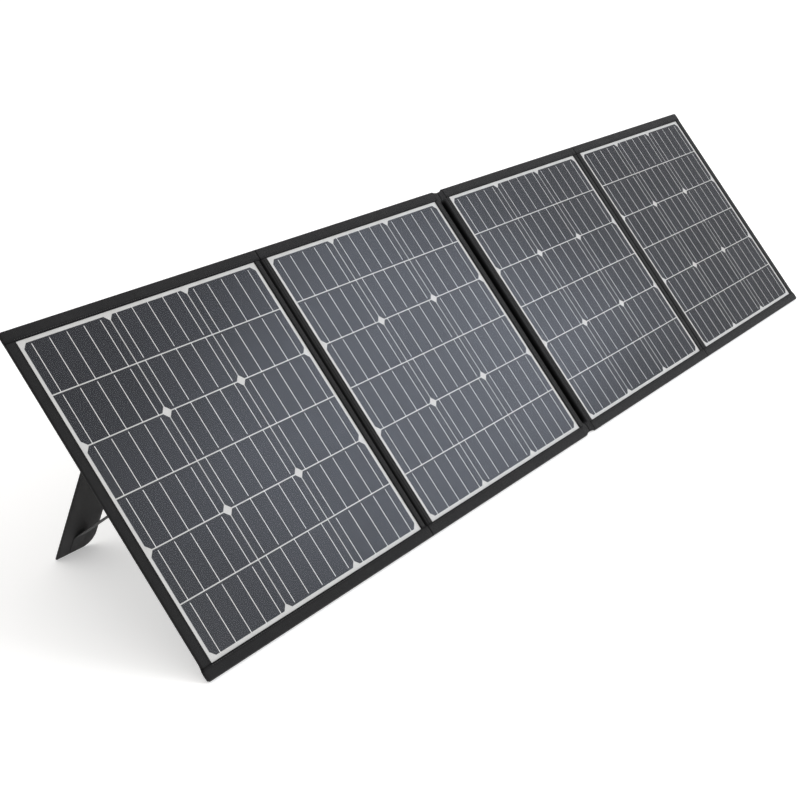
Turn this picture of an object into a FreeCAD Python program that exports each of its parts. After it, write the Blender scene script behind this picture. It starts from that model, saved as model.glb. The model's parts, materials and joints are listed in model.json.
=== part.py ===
"""Four-panel folding solar blanket, standing open on its kickstands.

Every panel is drawn flat, as it would lie on a bench: local x runs along the row, local y runs
from the bottom edge up the slope, and local z is zero on the back fabric and rises to the front.
The panels are then leaned back on the ground. Row frame: +X along the row, +Z up, fronts facing
-Y, origin on the ground in the middle of the footprint.
"""

import FreeCAD, Part
import os
import Sketcher

from FreeCAD import Placement, Rotation, Vector

DIMENSIONS = {
    # silicon cells: full pseudo-square wafers cut into halves, three columns by three full rows
    "cell_wide": 156.75,
    "half_tall": 78.1,
    "half_gap": 1.8,
    "cell_nick": 8.0,
    "column_step": 158.0,
    "cell_step": 159.8,
    "cell_count": 3,
    # tinned ribbons on the half cells
    "ribbon_wide": 1.1,
    "ribbon_step": 31.35,
    "ribbon_count": 5,
    "ribbon_short": 4.0,
    "half_step": 79.9,
    "half_count": 6,
    # panel outline
    "panel_tall": 527.2,
    "window_wide": 485.0,
    "window_tall": 489.0,
    "outer_edge": 260.8,
    "hinge_edge": 252.3,
    "side_gap": 11.4,
    "middle_gap": 28.4,
    "lap": 6.0,
    "hem": 5.5,
    "cover_wall": 0.8,
    "fit_gap": 0.1,
    # layers, from the back fabric to the front
    "cover_thick": 0.7,
    "board_thick": 2.0,
    "backsheet_thick": 0.8,
    "cell_thick": 0.25,
    "ribbon_thick": 0.15,
    "film_gap": 0.1,
    "film_thick": 0.3,
    "border_thick": 0.7,
    # hinge webs and the flat leads that cross them
    "web_thick": 1.4,
    "web_inset": 1.0,
    "lead_wide": 16.0,
    "lead_thick": 0.8,
    "lead_low": 172.0,
    "lead_step": 163.0,
    "lead_reach": 2.6,
    "lead_room": 0.3,
    # kickstands
    "lean": 50.0,
    "spread": 63.8,
    "stand_up": 427.1,
    "stand_back": 2.2,
    "stand_middle": 87.0,
    "leg_wide": 78.0,
    "leg_thick": 3.0,
    "leg_board_thick": 1.8,
    "leg_top": 2.0,
    "leg_hem": 3.0,
    "leg_round": 22.0,
    "leg_nip": 3.0,
    # strap between a leg and its panel
    "strap_wide": 25.0,
    "strap_thick": 1.2,
    "strap_up": 269.1,
    "strap_along": 322.0,
    "strap_gap": 0.3,
    # carry handles
    "handle_up": 499.1,
    "handle_back": 2.2,
    "handle_hang": 40.0,
    "handle_wide": 135.0,
    "handle_drop": 62.0,
    "webbing_wide": 25.0,
    "webbing_thick": 2.0,
    "grip_wide": 84.0,
    "grip_thick": 10.0,
    "grip_wall": 1.0,
    "grip_gap": 0.15,
    "grip_round": 4.0,
    # junction box
    "box_left": 40.0,
    "box_low": 352.1,
    "box_wide": 110.0,
    "box_tall": 70.0,
    "box_deep": 14.0,
    "box_wall": 2.5,
    "box_floor": 2.0,
    "box_round": 6.0,
    "boss_inset": 8.0,
    "boss_size": 8.0,
    "gasket_thick": 1.0,
    "lid_thick": 2.5,
    "pilot_size": 2.5,
    "screw_size": 2.4,
    "screw_long": 10.0,
    "screw_clear": 3.4,
    "head_size": 5.6,
    "head_tall": 1.8,
    "head_room": 6.0,
    "gland_x": 95.0,
    "gland_back": 7.5,
    "gland_tube": 10.0,
    "gland_hole": 10.2,
    "gland_nut": 13.0,
    "gland_bore": 6.0,
    "nut_long": 16.0,
    "tube_long": 7.0,
    "block_wide": 44.0,
    "block_tall": 14.0,
    "block_deep": 7.0,
    "block_left": 60.0,
    "block_low": 392.0,
    "diode_size": 5.2,
    "diode_long": 9.0,
    "diode_step": 20.0,
    "diode_left": 62.0,
    "diode_low": 376.0,
    "diode_back": 6.5,
    # cable pocket
    "pocket_left": 10.0,
    "pocket_low": 62.1,
    "pocket_wide": 215.0,
    "pocket_tall": 240.0,
    "pocket_thick": 2.4,
    "pocket_round": 12.0,
    "zip_low": 283.1,
    "zip_tall": 12.0,
    "zip_thick": 1.0,
    "zip_inset": 8.0,
    "slider_long": 11.0,
    "slider_tall": 8.0,
    "slider_thick": 2.6,
    "slider_gap": 0.2,
    "pull_long": 22.0,
    "pull_wide": 6.0,
    "pull_thick": 1.4,
}

# heights of the layers above the back face of the fabric, as sheet expressions
BOARD_LOW = "Dims.cover_thick"
BACKSHEET_LOW = BOARD_LOW + " + Dims.board_thick"
CELL_LOW = BACKSHEET_LOW + " + Dims.backsheet_thick"
RIBBON_LOW = CELL_LOW + " + Dims.cell_thick"
FILM_LOW = RIBBON_LOW + " + Dims.ribbon_thick + Dims.film_gap"
BORDER_LOW = FILM_LOW + " + Dims.film_thick"

MIDDLE_UP = "Dims.panel_tall / 2"
WINDOW_LOW = "(Dims.panel_tall - Dims.window_tall) / 2"
WINDOW_HIGH = "(Dims.panel_tall + Dims.window_tall) / 2"
LAMINATE_WIDE = "Dims.window_wide + 2 * Dims.lap"
LAMINATE_TALL = "Dims.window_tall + 2 * Dims.lap"

LEAN = "(Dims.lean * 1 deg)"
SPREAD = "(Dims.spread * 1 deg)"
LEAN_SPREAD = "((Dims.lean + Dims.spread) * 1 deg)"
# the leg ends where the inner corner of its foot meets the ground under the panel's bottom edge
LEG_LONG = (
    f"(Dims.stand_up * sin{LEAN} - Dims.stand_back * cos{LEAN}"
    f" + Dims.leg_thick / 2 * cos{LEAN_SPREAD}) / sin{LEAN_SPREAD}"
)

document = FreeCAD.newDocument("solar_blanket")
dims = document.addObject("Spreadsheet::Sheet", "Dims")
for row, (alias, number) in enumerate(DIMENSIONS.items(), start=1):
    dims.set(f"A{row}", alias)
    dims.set(f"B{row}", str(number))
    dims.setAlias(f"B{row}", alias)
document.recompute()

nodes = []


def size(alias):
    """A driving dimension, read back from the sheet."""
    return float(getattr(dims, alias))


def new_body(label, placement):
    """An empty body for one piece, in its place."""
    body = document.addObject("PartDesign::Body", label)
    body.Label = label
    body.AllowCompound = True
    body.Placement = placement
    nodes.append(body)
    return body


def origin_part(body, role):
    """One of a body's own origin planes or axes, such as XY_Plane."""
    return next(f for f in body.Origin.OriginFeatures if f.Role == role)


def sketch_on(body, role="XY_Plane", offset="0"):
    """An empty sketch on one of the body's origin planes, moved along its normal."""
    sketch = body.newObject("Sketcher::SketchObject", body.Label + "_sketch")
    sketch.AttachmentSupport = [(origin_part(body, role), "")]
    sketch.MapMode = "FlatFace"
    sketch.setExpression("AttachmentOffset.Base.z", offset)
    return sketch


def fix_coordinate(sketch, line, kind, expression, number):
    """Ties one coordinate of a line's first point to the sheet."""
    if abs(number) < 1e-9:
        axis = -2 if kind == "DistanceX" else -1
        sketch.addConstraint(Sketcher.Constraint("PointOnObject", line, 1, axis))
        return
    index = sketch.addConstraint(Sketcher.Constraint(kind, -1, 1, line, 1, number))
    sketch.setExpression(f"Constraints[{index}]", expression)


def outline(sketch, points):
    """A closed outline through points whose coordinates are sheet expressions."""
    numbers = [tuple(float(sketch.evalExpression(c)) for c in point) for point in points]
    first = sketch.GeometryCount
    count = len(points)
    for i in range(count):
        start = Vector(*numbers[i], 0)
        finish = Vector(*numbers[(i + 1) % count], 0)
        sketch.addGeometry(Part.LineSegment(start, finish), False)
    for i in range(count):
        following = first + (i + 1) % count
        sketch.addConstraint(Sketcher.Constraint("Coincident", first + i, 2, following, 1))
    for i in range(count):
        fix_coordinate(sketch, first + i, "DistanceX", points[i][0], numbers[i][0])
        fix_coordinate(sketch, first + i, "DistanceY", points[i][1], numbers[i][1])


def rectangle(sketch, left, low, right, high):
    """A rectangle between two corners, given as sheet expressions."""
    outline(sketch, [(left, low), (right, low), (right, high), (left, high)])


def circle(sketch, x, y, diameter):
    """A circle whose centre and diameter are sheet expressions."""
    centre_x, centre_y, wide = (float(sketch.evalExpression(c)) for c in (x, y, diameter))
    shape = Part.Circle(Vector(centre_x, centre_y, 0), Vector(0, 0, 1), wide / 2)
    index = sketch.addGeometry(shape, False)
    for kind, expression, number in (("DistanceX", x, centre_x), ("DistanceY", y, centre_y)):
        tie = sketch.addConstraint(Sketcher.Constraint(kind, -1, 1, index, 3, number))
        sketch.setExpression(f"Constraints[{tie}]", expression)
    tie = sketch.addConstraint(Sketcher.Constraint("Diameter", index, wide))
    sketch.setExpression(f"Constraints[{tie}]", diameter)


def pad(body, sketch, length, both_ways=False, backwards=False):
    """Material raised from a sketch."""
    feature = body.newObject("PartDesign::Pad", body.Label + "_pad")
    feature.Profile = sketch
    feature.Reversed = backwards
    if both_ways:
        feature.SideType = "Symmetric"
    feature.setExpression("Length", length)
    return feature


def pocket(body, sketch, length, both_ways=False, backwards=False):
    """Material taken away from a sketch. The volume has to fall."""
    document.recompute()
    before = body.Shape.Volume
    feature = body.newObject("PartDesign::Pocket", body.Label + "_pocket")
    feature.Profile = sketch
    feature.Reversed = backwards
    if both_ways:
        feature.SideType = "Symmetric"
    feature.setExpression("Length", length)
    document.recompute()
    if body.Shape.Volume > before - 1e-6:
        raise RuntimeError(f"{body.Label}: the pocket cut nothing")
    return feature


def fillet(body, base, radius, chosen):
    """A fillet on the edges of a feature for which chosen(edge) is true."""
    document.recompute()
    names = [f"Edge{i}" for i, e in enumerate(base.Shape.Edges, start=1) if chosen(e)]
    if not names:
        raise RuntimeError(f"{body.Label}: no edge to round")
    feature = body.newObject("PartDesign::Fillet", body.Label + "_fillet")
    feature.Base = (base, names)
    feature.setExpression("Radius", radius)
    body.Tip = feature
    return feature


def along(edge, axis):
    """True if a straight edge runs along an axis."""
    if not isinstance(edge.Curve, Part.Line):
        return False
    return abs(abs(edge.Curve.Direction.dot(axis)) - 1) < 1e-6


def grid(body, feature, columns, column_step, rows, row_step):
    """Repeats a feature in columns along x and rows along y."""
    pattern = body.newObject("PartDesign::LinearPattern", body.Label + "_grid")
    pattern.Originals = [feature]
    pattern.Direction = (origin_part(body, "X_Axis"), [""])
    pattern.Mode = "Spacing"
    pattern.setExpression("Offset", column_step)
    pattern.setExpression("Occurrences", columns)
    pattern.Direction2 = (origin_part(body, "Y_Axis"), [""])
    pattern.Mode2 = "Spacing"
    pattern.setExpression("Offset2", row_step)
    pattern.setExpression("Occurrences2", rows)
    document.recompute()
    # every row keeps the set spacing: -1 stands for the pattern's own Offset2
    pattern.Spacings2 = [-1.0] * (pattern.Occurrences2 - 1)
    body.Tip = pattern
    return pattern


def slab(label, placement, corners, low, thick, both_ways=False):
    """A flat rectangular sheet between two corners, raised from a height."""
    body = new_body(label, placement)
    sketch = sketch_on(body, offset=low)
    rectangle(sketch, *corners)
    pad(body, sketch, thick, both_ways=both_ways)
    return body


def centred(wide, tall):
    """The corners of a rectangle in the middle of the panel."""
    return (
        f"-({wide}) / 2",
        f"{MIDDLE_UP} - ({tall}) / 2",
        f"({wide}) / 2",
        f"{MIDDLE_UP} + ({tall}) / 2",
    )


# ---------------------------------------------------------------- one panel


def back_cover(name, place, left, right, leads):
    """Fabric tray that wraps the back and the edges, notched where a flat lead passes."""
    body = slab(name + "_back_cover", place, (left, "0", right, "Dims.panel_tall"), "0", BORDER_LOW)
    room = sketch_on(body, offset=BORDER_LOW)
    half = "(Dims.hinge_edge - Dims.cover_wall)"
    rectangle(room, f"-{half}", "Dims.hem", half, "Dims.panel_tall - Dims.hem")
    pocket(body, room, f"({BORDER_LOW}) - Dims.cover_thick")
    notch = sketch_on(body, offset=BORDER_LOW)
    for side in leads:
        inner = f"{side} * ({half} - 1)"
        outer = f"{side} * (Dims.hinge_edge + 1)"
        for low in ("Dims.lead_low", "(Dims.lead_low + Dims.lead_step)"):
            high = f"{low} + Dims.lead_wide + Dims.lead_room"
            rectangle(notch, inner, f"{low} - Dims.lead_room", outer, high)
    pocket(body, notch, f"({BORDER_LOW}) - ({BACKSHEET_LOW})")


def front_border(name, place, left, right):
    """Four strips of fabric sewn over the laminate's edge: top and bottom run full width."""
    body = new_body(name + "_front_border", place)
    sketch = sketch_on(body, offset=BORDER_LOW)
    inner = "Dims.window_wide / 2"
    rectangle(sketch, left, "0", right, WINDOW_LOW)
    rectangle(sketch, left, WINDOW_HIGH, right, "Dims.panel_tall")
    side_low = f"{WINDOW_LOW} + Dims.fit_gap"
    side_high = f"{WINDOW_HIGH} - Dims.fit_gap"
    rectangle(sketch, left, side_low, f"-{inner}", side_high)
    rectangle(sketch, inner, side_low, right, side_high)
    pad(body, sketch, "Dims.border_thick")


def half_cells(name, place):
    """Nine wafers, each cut into two halves; only a full wafer's outer corners are nicked."""
    body = new_body(name + "_cells", place)
    sketch = sketch_on(body, offset=CELL_LOW)
    column = "(0 - Dims.column_step)"
    middle = f"({MIDDLE_UP} - Dims.cell_step)"
    left = f"{column} - Dims.cell_wide / 2"
    right = f"{column} + Dims.cell_wide / 2"
    for way in (1, -1):
        near = f"{middle} + {way} * Dims.half_gap / 2"
        far = f"{middle} + {way} * (Dims.half_gap / 2 + Dims.half_tall)"
        shoulder = f"{far} - {way} * Dims.cell_nick"
        outline(
            sketch,
            [
                (left, near),
                (right, near),
                (right, shoulder),
                (f"{right} - Dims.cell_nick", far),
                (f"{left} + Dims.cell_nick", far),
                (left, shoulder),
            ],
        )
    feature = pad(body, sketch, "Dims.cell_thick")
    grid(body, feature, "Dims.cell_count", "Dims.column_step", "Dims.cell_count", "Dims.cell_step")


def ribbons(name, place):
    """Five ribbons on each half cell. The middle column is connected the other way up."""
    body = new_body(name + "_ribbons", place)
    bottom = f"({MIDDLE_UP} - Dims.half_count * Dims.half_step / 2)"
    for column, flipped in ((-1, False), (0, True), (1, False)):
        sketch = sketch_on(body, offset=RIBBON_LOW)
        first = f"({column} * Dims.column_step - 2 * Dims.ribbon_step)"
        start = "Dims.ribbon_short" if flipped else "0"
        finish = "0" if flipped else "Dims.ribbon_short"
        rectangle(
            sketch,
            f"{first} - Dims.ribbon_wide / 2",
            f"{bottom} + {start} + Dims.fit_gap",
            f"{first} + Dims.ribbon_wide / 2",
            f"{bottom} + Dims.half_step - {finish} - Dims.fit_gap",
        )
        feature = pad(body, sketch, "Dims.ribbon_thick")
        steps = ("Dims.ribbon_count", "Dims.ribbon_step", "Dims.half_count", "Dims.half_step")
        grid(body, feature, *steps)


def panel(name, place, left, right, leads):
    """All the layers of one panel, from the back fabric to the front border."""
    back_cover(name, place, left, right, leads)
    half = "(Dims.hinge_edge - Dims.cover_wall - Dims.fit_gap)"
    board_low = "Dims.hem + Dims.fit_gap"
    corners = (f"-{half}", board_low, half, f"Dims.panel_tall - ({board_low})")
    slab(name + "_board", place, corners, BOARD_LOW, "Dims.board_thick")
    sheet = centred(LAMINATE_WIDE, LAMINATE_TALL)
    slab(name + "_backsheet", place, sheet, BACKSHEET_LOW, "Dims.backsheet_thick")
    half_cells(name, place)
    ribbons(name, place)
    slab(name + "_front_film", place, sheet, FILM_LOW, "Dims.film_thick")
    front_border(name, place, left, right)


# ---------------------------------------------------------------- hinges


def hinge(name, place, gap):
    """The doubled strip of fabric between two panels, and the two flat leads that cross it."""
    half = f"{gap} / 2"
    web = ("-" + half, "Dims.web_inset", half, "Dims.panel_tall - Dims.web_inset")
    slab("hinge_web_" + name, place, web, "0", "Dims.web_thick")
    leads = new_body("link_leads_" + name, place)
    sketch = sketch_on(leads, offset=f"{BACKSHEET_LOW} + Dims.fit_gap")
    reach = f"({half} + Dims.lead_reach)"
    for low in ("Dims.lead_low", "(Dims.lead_low + Dims.lead_step)"):
        rectangle(sketch, f"-{reach}", low, reach, f"{low} + Dims.lead_wide")
    pad(leads, sketch, "Dims.lead_thick")


# ---------------------------------------------------------------- kickstands


def leg_outline(sketch, inset, side):
    """A leg seen from behind, from its hinge at the origin down to its foot."""
    half = f"(Dims.leg_wide / 2 - {inset})"
    foot = f"-({LEG_LONG} - {inset})"
    top = f"-(Dims.leg_top + {inset})"
    corners = [(f"-{side} * {half}", top), (f"-{side} * {half}", foot)]
    corners += [(f"{side} * {half}", foot), (f"{side} * {half}", top)]
    outline(sketch, corners)


def round_foot(body, feature, side, inset):
    """The foot's corner nearest the middle of the blanket is cut to a large radius."""
    radius = f"Dims.leg_round - {inset}"

    def at_foot(edge):
        middle = edge.CenterOfMass
        return along(edge, Vector(0, 0, 1)) and middle.y < -size("leg_wide") and side * middle.x > 0

    return fillet(body, feature, radius, at_foot)


def leg_cover(name, place, side):
    """Two leaves of fabric sewn round the leg's board."""
    body = new_body(name + "_cover", place)
    sketch = sketch_on(body)
    leg_outline(sketch, "0", side)
    whole = pad(body, sketch, "Dims.leg_thick", both_ways=True)
    round_foot(body, whole, side, "0")
    hollow = sketch_on(body)
    leg_outline(hollow, "Dims.leg_hem", side)
    pocket(body, hollow, "Dims.leg_board_thick", both_ways=True)


def leg_board(name, place, side):
    """The stiff plate inside a leg."""
    body = new_body(name + "_board", place)
    sketch = sketch_on(body)
    leg_outline(sketch, "(Dims.leg_hem + Dims.fit_gap)", side)
    plate = pad(body, sketch, "Dims.leg_board_thick - Dims.fit_gap", both_ways=True)
    round_foot(body, plate, side, "Dims.leg_hem")


def strap(name, place, middle):
    """The webbing that stops a leg: pulled straight from the panel's back to the leg."""
    body = new_body(name + "_strap", place)
    sketch = sketch_on(body, role="YZ_Plane", offset=middle)
    leg_up = f"(Dims.stand_up - Dims.strap_along * cos{SPREAD} - Dims.leg_thick / 2 * sin{SPREAD})"
    leg_back = (
        f"(Dims.stand_back + Dims.strap_along * sin{SPREAD} - Dims.leg_thick / 2 * cos{SPREAD}"
        " - Dims.strap_gap)"
    )
    slant = f"(Dims.strap_thick / 2 * sin{SPREAD} / cos{SPREAD})"
    outline(
        sketch,
        [
            ("Dims.strap_up", "-Dims.fit_gap"),
            ("Dims.strap_up + Dims.strap_thick", "-Dims.fit_gap"),
            (f"{leg_up} + Dims.strap_thick / 2", f"-({leg_back} - {slant})"),
            (f"{leg_up} - Dims.strap_thick / 2", f"-({leg_back} + {slant})"),
        ],
    )
    pad(body, sketch, "Dims.strap_wide", both_ways=True)


# ---------------------------------------------------------------- carry handles


def handle(name, place):
    """A webbing loop with a padded grip, drawn flat from its sewn line at the origin."""
    loop = new_body(name + "_webbing", place)
    sketch = sketch_on(loop)
    half = "(Dims.handle_wide / 2)"
    inner = f"({half} - Dims.webbing_wide)"
    low = "0 - Dims.handle_drop"
    bar = f"({low} + Dims.webbing_wide)"
    top = "0 - Dims.webbing_thick / 2"
    outline(
        sketch,
        [
            (f"-{half}", top),
            (f"-{half}", low),
            (half, low),
            (half, top),
            (inner, top),
            (inner, bar),
            (f"-{inner}", bar),
            (f"-{inner}", top),
        ],
    )
    pad(loop, sketch, "Dims.webbing_thick", both_ways=True)

    grip = new_body(name + "_grip", place)
    outer = sketch_on(grip)
    half_grip = "Dims.grip_wide / 2"
    lip = "(Dims.grip_wall + Dims.grip_gap)"
    rectangle(outer, f"-{half_grip}", f"{low} - {lip}", half_grip, f"{bar} + {lip}")
    body = pad(grip, outer, "Dims.grip_thick", both_ways=True)
    fillet(grip, body, "Dims.grip_round", lambda edge: along(edge, Vector(1, 0, 0)))
    slot = sketch_on(grip)
    ends = f"({half_grip} + 1)"
    rectangle(slot, f"-{ends}", f"{low} - Dims.grip_gap", ends, f"{bar} + Dims.grip_gap")
    pocket(grip, slot, "Dims.webbing_thick + 2 * Dims.grip_gap", both_ways=True)


# ---------------------------------------------------------------- junction box


def box_corners(inset):
    """The junction box's outline, moved in by an inset."""
    return (
        f"Dims.box_left + {inset}",
        f"Dims.box_low + {inset}",
        f"Dims.box_left + Dims.box_wide - {inset}",
        f"Dims.box_low + Dims.box_tall - {inset}",
    )


def screw_places():
    """The centres of the four lid screws."""
    inset = "Dims.boss_inset"
    xs = (f"Dims.box_left + {inset}", f"Dims.box_left + Dims.box_wide - {inset}")
    ys = (f"Dims.box_low + {inset}", f"Dims.box_low + Dims.box_tall - {inset}")
    return [(x, y) for x in xs for y in ys]


def round_box(body, feature):
    """Rounds the four upright corners of a box piece."""

    def corner(edge):
        return along(edge, Vector(0, 0, 1)) and (
            abs(abs(edge.CenterOfMass.x - middle_x) - size("box_wide") / 2) < 1e-3
        )

    middle_x = size("box_left") + size("box_wide") / 2
    return fillet(body, feature, "Dims.box_round", corner)


def junction_box(place):
    """Moulded base, gasket, lid and screws, with the terminals, diodes and gland inside and on it."""
    base = new_body("junction_box_base", place)
    outer = sketch_on(base)
    rectangle(outer, *box_corners("0"))
    shell = pad(base, outer, "Dims.box_deep", backwards=True)
    round_box(base, shell)
    room = sketch_on(base, offset="-Dims.box_floor")
    rectangle(room, *box_corners("Dims.box_wall"))
    pocket(base, room, "Dims.box_deep")
    bosses = sketch_on(base, offset="-Dims.box_floor + Dims.fit_gap")
    for x, y in screw_places():
        circle(bosses, x, y, "Dims.boss_size")
    pad(base, bosses, "Dims.box_deep - Dims.box_floor + Dims.fit_gap", backwards=True)
    pilots = sketch_on(base, offset="-Dims.box_floor - 1")
    for x, y in screw_places():
        circle(pilots, x, y, "Dims.pilot_size")
    pocket(base, pilots, "Dims.box_deep")
    outlet = sketch_on(base, role="XZ_Plane", offset="-Dims.box_low - Dims.box_wall - 1")
    circle(outlet, "Dims.gland_x", "-Dims.gland_back", "Dims.gland_hole")
    pocket(base, outlet, "Dims.box_wall + 2", backwards=True)

    gasket = new_body("junction_box_gasket", place)
    ring = sketch_on(gasket, offset="-Dims.box_deep")
    rectangle(ring, *box_corners("Dims.fit_gap"))
    rectangle(ring, *box_corners("Dims.box_wall"))
    pad(gasket, ring, "Dims.gasket_thick", backwards=True)

    lid = new_body("junction_box_lid", place)
    plate = sketch_on(lid, offset="-Dims.box_deep - Dims.gasket_thick")
    rectangle(plate, *box_corners("0"))
    top = pad(lid, plate, "Dims.lid_thick", backwards=True)
    round_box(lid, top)
    holes = sketch_on(lid, offset="-Dims.box_deep - Dims.gasket_thick + 1")
    sinks = sketch_on(lid, offset="-Dims.box_deep - Dims.gasket_thick - Dims.lid_thick + Dims.head_tall")
    for x, y in screw_places():
        circle(holes, x, y, "Dims.screw_clear")
        circle(sinks, x, y, "Dims.head_room")
    pocket(lid, holes, "Dims.lid_thick + 2")
    pocket(lid, sinks, "Dims.head_tall + 1")

    screws = new_body("junction_box_screws", place)
    lid_face = "-Dims.box_deep - Dims.gasket_thick - Dims.lid_thick"
    heads = sketch_on(screws, offset=lid_face)
    shanks = sketch_on(screws, offset=f"{lid_face} + Dims.head_tall - Dims.fit_gap")
    for x, y in screw_places():
        circle(heads, x, y, "Dims.head_size")
        circle(shanks, x, y, "Dims.screw_size")
    pad(screws, heads, "Dims.head_tall - Dims.fit_gap")
    pad(screws, shanks, "Dims.screw_long")

    terminals = new_body("junction_box_terminals", place)
    block = sketch_on(terminals, offset="-Dims.box_floor - Dims.fit_gap")
    block_right = "Dims.block_left + Dims.block_wide"
    block_high = "Dims.block_low + Dims.block_tall"
    rectangle(block, "Dims.block_left", "Dims.block_low", block_right, block_high)
    pad(terminals, block, "Dims.block_deep", backwards=True)

    diodes = new_body("bypass_diodes", place)
    ends = sketch_on(diodes, role="YZ_Plane", offset="Dims.diode_left")
    circle(ends, "Dims.diode_low", "-Dims.diode_back", "Dims.diode_size")
    feature = pad(diodes, ends, "Dims.diode_long")
    grid(diodes, feature, "2", "Dims.diode_step", "1", "Dims.diode_step")

    gland = new_body("cable_gland", place)
    nut = sketch_on(gland, role="XZ_Plane", offset="-Dims.box_low")
    circle(nut, "Dims.gland_x", "-Dims.gland_back", "Dims.gland_nut")
    pad(gland, nut, "Dims.nut_long")
    tube = sketch_on(gland, role="XZ_Plane", offset="-Dims.box_low")
    circle(tube, "Dims.gland_x", "-Dims.gland_back", "Dims.gland_tube")
    pad(gland, tube, "Dims.tube_long", backwards=True)
    bore = sketch_on(gland, role="XZ_Plane", offset="-Dims.box_low")
    circle(bore, "Dims.gland_x", "-Dims.gland_back", "Dims.gland_bore")
    pocket(gland, bore, "4 * Dims.nut_long", both_ways=True)


# ---------------------------------------------------------------- cable pocket


def cable_pocket(place):
    """A flat pocket sewn to the back, closed by a zip along its top."""
    pouch = new_body("pocket_fabric", place)
    sketch = sketch_on(pouch)
    right = "Dims.pocket_left + Dims.pocket_wide"
    high = "Dims.pocket_low + Dims.pocket_tall"
    rectangle(sketch, "Dims.pocket_left", "Dims.pocket_low", right, high)
    sheet = pad(pouch, sketch, "Dims.pocket_thick", backwards=True)
    fillet(pouch, sheet, "Dims.pocket_round", lambda edge: along(edge, Vector(0, 0, 1)))

    tape = new_body("pocket_zip", place)
    band = sketch_on(tape, offset="-Dims.pocket_thick")
    tape_left = "Dims.pocket_left + Dims.zip_inset"
    tape_right = f"{right} - Dims.zip_inset"
    rectangle(band, tape_left, "Dims.zip_low", tape_right, "Dims.zip_low + Dims.zip_tall")
    pad(tape, band, "Dims.zip_thick", backwards=True)

    slider = new_body("zip_slider", place)
    face = "-Dims.pocket_thick - Dims.zip_thick - Dims.slider_gap"
    middle = "(Dims.zip_low + Dims.zip_tall / 2)"
    closed_end = f"({tape_right} - Dims.slider_long)"
    block = sketch_on(slider, offset=face)
    block_low = f"{middle} - Dims.slider_tall / 2"
    block_high = f"{middle} + Dims.slider_tall / 2"
    rectangle(block, f"{closed_end} - Dims.slider_long", block_low, closed_end, block_high)
    pad(slider, block, "Dims.slider_thick", backwards=True)
    tab = sketch_on(slider, offset=f"{face} - Dims.slider_thick")
    tab_middle = f"({closed_end} - Dims.slider_long / 2)"
    rectangle(
        tab,
        f"{tab_middle} - Dims.pull_wide / 2",
        f"{middle} - Dims.pull_long",
        f"{tab_middle} + Dims.pull_wide / 2",
        f"{middle} + Dims.pull_wide / 2",
    )
    pad(slider, tab, "Dims.pull_thick", backwards=True)


# ---------------------------------------------------------------- assembly

lean = Placement(Vector(0, 0, 0), Rotation(Vector(1, 0, 0), size("lean")))


def on_panel(x, y=0.0, z=0.0, turn=0.0):
    """A place in the leaned panels' plane, turned about the row's length."""
    return lean * Placement(Vector(x, y, z), Rotation(Vector(1, 0, 0), turn))


middle_half = size("hinge_edge") + size("middle_gap") / 2
pitch = 2 * size("hinge_edge") + size("side_gap")
panel_x = {
    "panel_1": -middle_half - pitch,
    "panel_2": -middle_half,
    "panel_3": middle_half,
    "panel_4": middle_half + pitch,
}
edges = {
    "panel_1": ("-Dims.outer_edge", "Dims.hinge_edge", (1,)),
    "panel_2": ("-Dims.hinge_edge", "Dims.hinge_edge", (-1, 1)),
    "panel_3": ("-Dims.hinge_edge", "Dims.hinge_edge", (-1, 1)),
    "panel_4": ("-Dims.hinge_edge", "Dims.outer_edge", (-1,)),
}
for name, (left, right, leads) in edges.items():
    panel(name, on_panel(panel_x[name]), left, right, leads)

side_hinge = middle_half + pitch / 2
hinge("12", on_panel(-side_hinge), "Dims.side_gap")
hinge("23", on_panel(0.0), "Dims.middle_gap")
hinge("34", on_panel(side_hinge), "Dims.side_gap")

for number in (1, 2, 3, 4):
    # the legs stand towards the outer ends of the blanket, mirrored about the middle hinge
    side = 1 if number < 3 else -1
    x = panel_x[f"panel_{number}"]
    leg_x = x - side * size("stand_middle")
    leg_place = on_panel(leg_x, size("stand_up"), -size("stand_back"), size("spread"))
    leg_cover(f"stand_{number}", leg_place, side)
    leg_board(f"stand_{number}", leg_place, side)
    strap(f"stand_{number}", on_panel(x), f"-{side} * Dims.stand_middle")

for number in (2, 3):
    hung = on_panel(
        panel_x[f"panel_{number}"], size("handle_up"), -size("handle_back"), size("handle_hang")
    )
    handle(f"handle_{number}", hung)

junction_box(on_panel(panel_x["panel_2"]))
cable_pocket(on_panel(panel_x["panel_2"]))

document.recompute()

# the origin is on the ground in the middle of the footprint
footprint = FreeCAD.BoundBox()
for node in nodes:
    footprint.add(node.Shape.optimalBoundingBox(False, False))
to_origin = Vector(0, -footprint.Center.y, -footprint.ZMin)
for node in nodes:
    node.Placement = Placement(to_origin, Rotation()) * node.Placement
document.recompute()

for thing in document.Objects:
    if "Invalid" in thing.State or "Error" in thing.State:
        raise RuntimeError(f"{thing.Label} failed: {thing.State}")
for node in nodes:
    if node.Shape.isNull() or not node.Shape.isValid():
        raise RuntimeError(f"{node.Label} has no sound shape")

os.makedirs("parts", exist_ok=True)
for node in nodes:
    node.Shape.exportStep(f"parts/{node.Label}.step")
print(f"{len(nodes)} nodes, moved to the origin by {to_origin.y:.6f} {to_origin.z:.6f}")
print(f"{footprint.XLength:.1f} by {footprint.YLength:.1f} by {footprint.ZLength:.1f} mm")
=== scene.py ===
import json
import math

import bpy
import numpy as np
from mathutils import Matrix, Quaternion, Vector


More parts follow.
